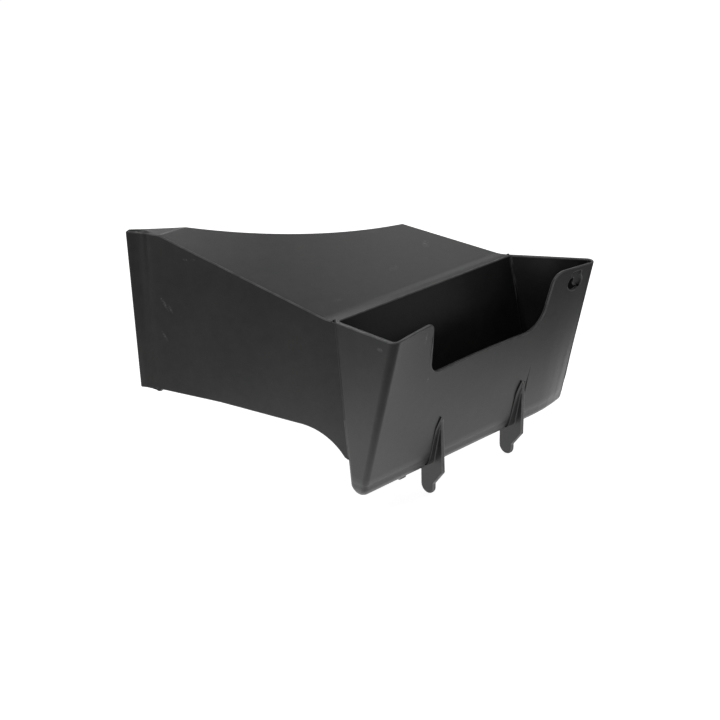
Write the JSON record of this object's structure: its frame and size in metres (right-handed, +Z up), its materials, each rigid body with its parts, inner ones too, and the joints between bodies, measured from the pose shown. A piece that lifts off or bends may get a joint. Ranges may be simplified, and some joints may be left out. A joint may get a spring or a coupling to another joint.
{
  "type": "mower mulching plug",
  "caption": "One-piece mulching plug for a walk-behind mower: sloped hollow body, V-shaped hand pocket with a finger notch, and hook tabs beneath.",
  "frame": {"origin": "midway between the noses of the two hook tabs, where the plug hangs on the edge of the mower deck", "axes": "+X along the hand pocket's front rim, from the end where the body's long side wall is to the end with the catch recess; +Y from the pocket towards the blade housing; +Z up, square to the pocket's level rim"},
  "size_m": [0.2243, 0.1811, 0.1612],
  "materials": {
    "black_plastic": "semi-matte moulded polypropylene with fine grain and light scuffs"
  },
  "bodies": {
    "root": {"mulching_plug": "black_plastic"}
  },
  "joints": []
}
